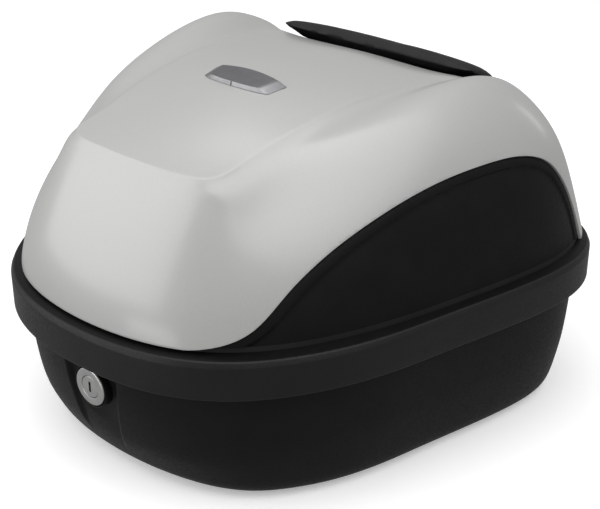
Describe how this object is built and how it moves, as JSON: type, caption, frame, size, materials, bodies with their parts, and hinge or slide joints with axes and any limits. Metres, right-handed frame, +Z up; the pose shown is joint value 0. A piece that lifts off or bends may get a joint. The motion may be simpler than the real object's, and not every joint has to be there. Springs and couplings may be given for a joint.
{
  "type": "scooter top case",
  "caption": "Rear luggage box for a scooter: deep tub, hinged glossy lid with dark side panels, backrest pad, push-button key lock and a sprung catch under the floor.",
  "frame": {"origin": "Under the middle of the case, at the centre of its bounding box's bottom, on the plane its four rubber pads stand on.", "axes": "+Z up. The lock faces -Y, the hinge and the backrest pad are at +Y. +X is to the right when the lock is looked at."},
  "size_m": [0.4582, 0.458, 0.2964],
  "materials": {
    "pearl_paint": "glossy pearl light grey paint on a moulded plastic cover",
    "textured_plastic": "black moulded polypropylene with a fine grain",
    "backrest_skin": "soft black moulded foam skin",
    "rubber": "matte black rubber",
    "brushed_silver": "satin silver lock metal",
    "zinc_steel": "zinc plated steel",
    "badge_satin": "satin grey metal",
    "badge_face": "blank dark satin face",
    "release_red": "red moulded plastic"
  },
  "bodies": {
    "base": {"lower_shell": "textured_plastic", "rim_seal": "rubber", "lock_housing": "textured_plastic", "lock_nut": "zinc_steel", "button_spring": "zinc_steel", "latch_bracket": "zinc_steel", "latch_pin": "zinc_steel", "hinge_lower_left": "textured_plastic", "hinge_lower_right": "textured_plastic", "hinge_pin_left": "zinc_steel", "hinge_pin_right": "zinc_steel", "tub_screw_left_1": "zinc_steel", "tub_screw_left_2": "zinc_steel", "tub_screw_right_1": "zinc_steel", "tub_screw_right_2": "zinc_steel", "floor_mat": "rubber", "mechanism_cover": "textured_plastic", "release_pin": "zinc_steel", "base_latch_spring": "zinc_steel", "rest_pad_1": "rubber", "rest_pad_2": "rubber", "rest_pad_3": "rubber", "rest_pad_4": "rubber"},
    "lid": {"lid_shell": "textured_plastic", "lid_cover": "pearl_paint", "backrest_plate": "textured_plastic", "backrest_pad": "backrest_skin", "badge_frame": "badge_satin", "badge_face": "badge_face", "latch_striker": "zinc_steel", "striker_screw_left": "zinc_steel", "striker_screw_right": "zinc_steel", "hinge_upper_left": "textured_plastic", "hinge_upper_right": "textured_plastic", "lid_screw_left_1": "zinc_steel", "lid_screw_left_2": "zinc_steel", "lid_screw_right_1": "zinc_steel", "lid_screw_right_2": "zinc_steel"},
    "button": {"lock_button": "brushed_silver", "button_clip": "zinc_steel"},
    "key": {"key_plug": "brushed_silver"},
    "lever": {"latch_lever": "zinc_steel"},
    "release": {"release_lever": "release_red"},
    "catch": {"base_latch": "zinc_steel"}
  },
  "joints": [
    {"name": "lid_hinge", "type": "hinge", "parent": "base", "child": "lid", "pos_m": [0, 0.2225, 0.105], "axis": [-1, 0, 0], "range_deg": [0, 95]},
    {"name": "lock_push", "type": "slide", "parent": "base", "child": "button", "axis": [0, 1, 0], "range_m": [0, 0.004], "stiffness_N_per_m": 600, "springref_m": -0.002, "deforming": ["button_spring"]},
    {"name": "key_turn", "type": "hinge", "parent": "button", "child": "key", "pos_m": [0, -0.216, 0.0854], "axis": [0, 1, 0], "range_deg": [0, 90]},
    {"name": "latch_turn", "type": "hinge", "parent": "base", "child": "lever", "pos_m": [0, -0.1754, 0.052], "axis": [-1, 0, 0], "range_deg": [0, 11.1]},
    {"name": "catch_slide", "type": "slide", "parent": "base", "child": "catch", "axis": [0, -1, 0], "range_m": [0, 0.004], "stiffness_N_per_m": 500, "springref_m": -0.002, "deforming": ["base_latch_spring"]},
    {"name": "release_turn", "type": "hinge", "parent": "base", "child": "release", "pos_m": [0, -0.096, 0.024], "axis": [-1, 0, 0], "range_deg": [0, 20.1]}
  ],
  "couplings": [
    {"joint": "latch_turn", "follows": "lock_push", "rad_per_m": 48},
    {"joint": "release_turn", "follows": "catch_slide", "rad_per_m": 87}
  ]
}
